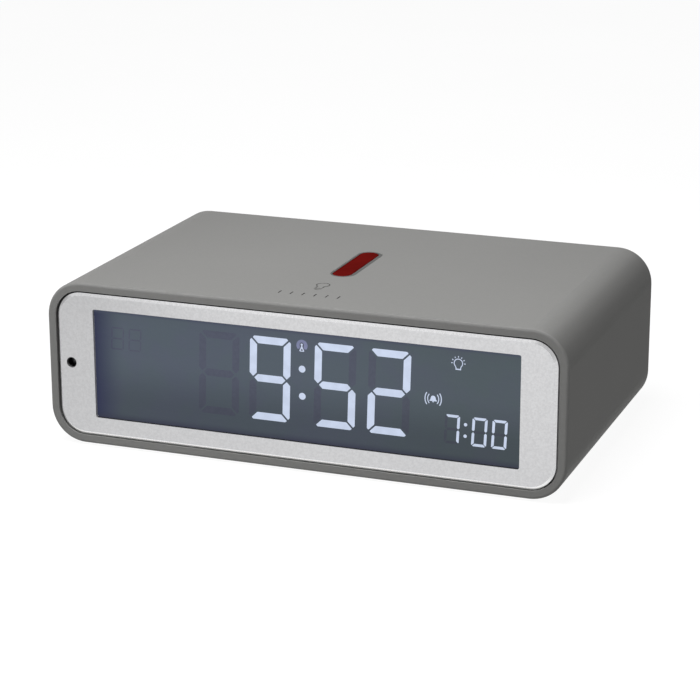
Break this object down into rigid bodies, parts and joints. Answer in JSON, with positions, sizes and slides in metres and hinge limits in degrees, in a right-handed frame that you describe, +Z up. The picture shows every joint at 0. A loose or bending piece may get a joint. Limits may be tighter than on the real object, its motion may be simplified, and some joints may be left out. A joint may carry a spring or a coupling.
{
  "type": "digital alarm clock",
  "caption": "Low bedside digital alarm clock: grey sleeve housing, silver fascia, wide backlit display, red top key and rear push buttons.",
  "frame": {"origin": "centre of the footprint, on the plane the rubber feet rest on", "axes": "+Z up, the display faces -Y, +X to the right seen from the front"},
  "size_m": [0.15, 0.09, 0.0475],
  "materials": {
    "black_plastic": "matt moulded",
    "board_green": "solder mask",
    "button_black": "fine texture",
    "cable_grey": "flat ribbon",
    "cell_jacket": "plain printed jacket, no marks",
    "coil_copper": "enamelled winding",
    "cover_grey": "fine spark-eroded texture, matt",
    "display_dark": "dark polariser film",
    "display_glass": "clear",
    "ferrite_dark": "sintered, matt",
    "guide_acrylic": "clear acrylic",
    "led_red": "moulded",
    "led_white": "moulded",
    "plain_metal": "tin plated",
    "plunger_white": "matt",
    "red_translucent": "dark red translucent, satin",
    "rubber_dark": "matt",
    "satin_silver": "fine satin grain, polished chamfer",
    "screw_black": "black zinc",
    "sensor_black": "clear dark epoxy",
    "shroud_grey": "matt moulded",
    "silicone_dark": "matt",
    "sleeve_blue": "shrunk sleeve",
    "soft_touch_grey": "soft-touch paint, matt",
    "white_film": "matt film",
    "white_plastic": "matt moulded",
    "window_clear": "clear acrylic"
  },
  "bodies": {
    "case": {"alarm_switch": "plain_metal", "antenna_coil": "coil_copper", "antenna_cradles": "white_plastic", "backlight_board": "board_green", "backlight_leds": "led_white", "backlight_tray": "white_plastic", "battery_lower": "cell_jacket", "battery_upper": "cell_jacket", "button_board": "board_green", "button_board_screws": "plain_metal", "button_switches": "black_plastic", "buzzer": "black_plastic", "capacitors": "sleeve_blue", "contact_plates": "plain_metal", "contact_springs": "plain_metal", "diffuser_sheet": "white_film", "fascia": "satin_silver", "ferrite_rod": "ferrite_dark", "flat_cable": "cable_grey", "front_frame": "black_plastic", "front_polariser": "display_dark", "housing": "soft_touch_grey", "lcd_connector": "silicone_dark", "lcd_glass": "display_glass", "light_guide": "guide_acrylic", "light_sensor": "sensor_black", "light_shroud": "shroud_grey", "main_board": "board_green", "main_board_screws": "plain_metal", "power_socket": "black_plastic", "processor_chip": "black_plastic", "quartz_crystal": "plain_metal", "radio_board": "board_green", "radio_header": "black_plastic", "rear_cover": "cover_grey", "rear_cover_screws": "screw_black", "rear_polariser": "display_dark", "reflector_sheet": "white_film", "rubber_feet": "rubber_dark", "snooze_board": "board_green", "snooze_board_screws": "plain_metal", "snooze_leds": "led_red", "snooze_switch": "black_plastic", "window_lens": "window_clear"},
    "snooze": {"snooze_key": "red_translucent", "snooze_plunger": "plunger_white"},
    "battery_lid": {"battery_door": "cover_grey"},
    "alarm_knob": {"alarm_slider": "button_black"},
    "time_set_key": {"time_set_button": "button_black", "time_set_plunger": "plunger_white"},
    "alarm_set_key": {"alarm_set_button": "button_black", "alarm_set_plunger": "plunger_white"},
    "up_key": {"up_button": "button_black", "up_plunger": "plunger_white"},
    "down_key": {"down_button": "button_black", "down_plunger": "plunger_white"},
    "radio_search_key": {"radio_search_button": "button_black", "radio_search_plunger": "plunger_white"}
  },
  "joints": [
    {"name": "snooze_press", "type": "slide", "parent": "case", "child": "snooze", "axis": [0, 0, -1], "range_m": [0, 0.0006]},
    {"name": "time_set_press", "type": "slide", "parent": "case", "child": "time_set_key", "axis": [0, -1, 0], "range_m": [0, 0.0005]},
    {"name": "alarm_set_press", "type": "slide", "parent": "case", "child": "alarm_set_key", "axis": [0, -1, 0], "range_m": [0, 0.0005]},
    {"name": "up_press", "type": "slide", "parent": "case", "child": "up_key", "axis": [0, -1, 0], "range_m": [0, 0.0005]},
    {"name": "down_press", "type": "slide", "parent": "case", "child": "down_key", "axis": [0, -1, 0], "range_m": [0, 0.0005]},
    {"name": "radio_search_press", "type": "slide", "parent": "case", "child": "radio_search_key", "axis": [0, -1, 0], "range_m": [0, 0.0005]},
    {"name": "alarm_slide", "type": "slide", "parent": "case", "child": "alarm_knob", "axis": [1, 0, 0], "range_m": [0, 0.004]},
    {"name": "battery_door_tilt", "type": "hinge", "parent": "case", "child": "battery_lid", "pos_m": [-0.03275, 0.044, 0.0081], "axis": [-1, 0, 0], "range_deg": [0, 75]}
  ]
}
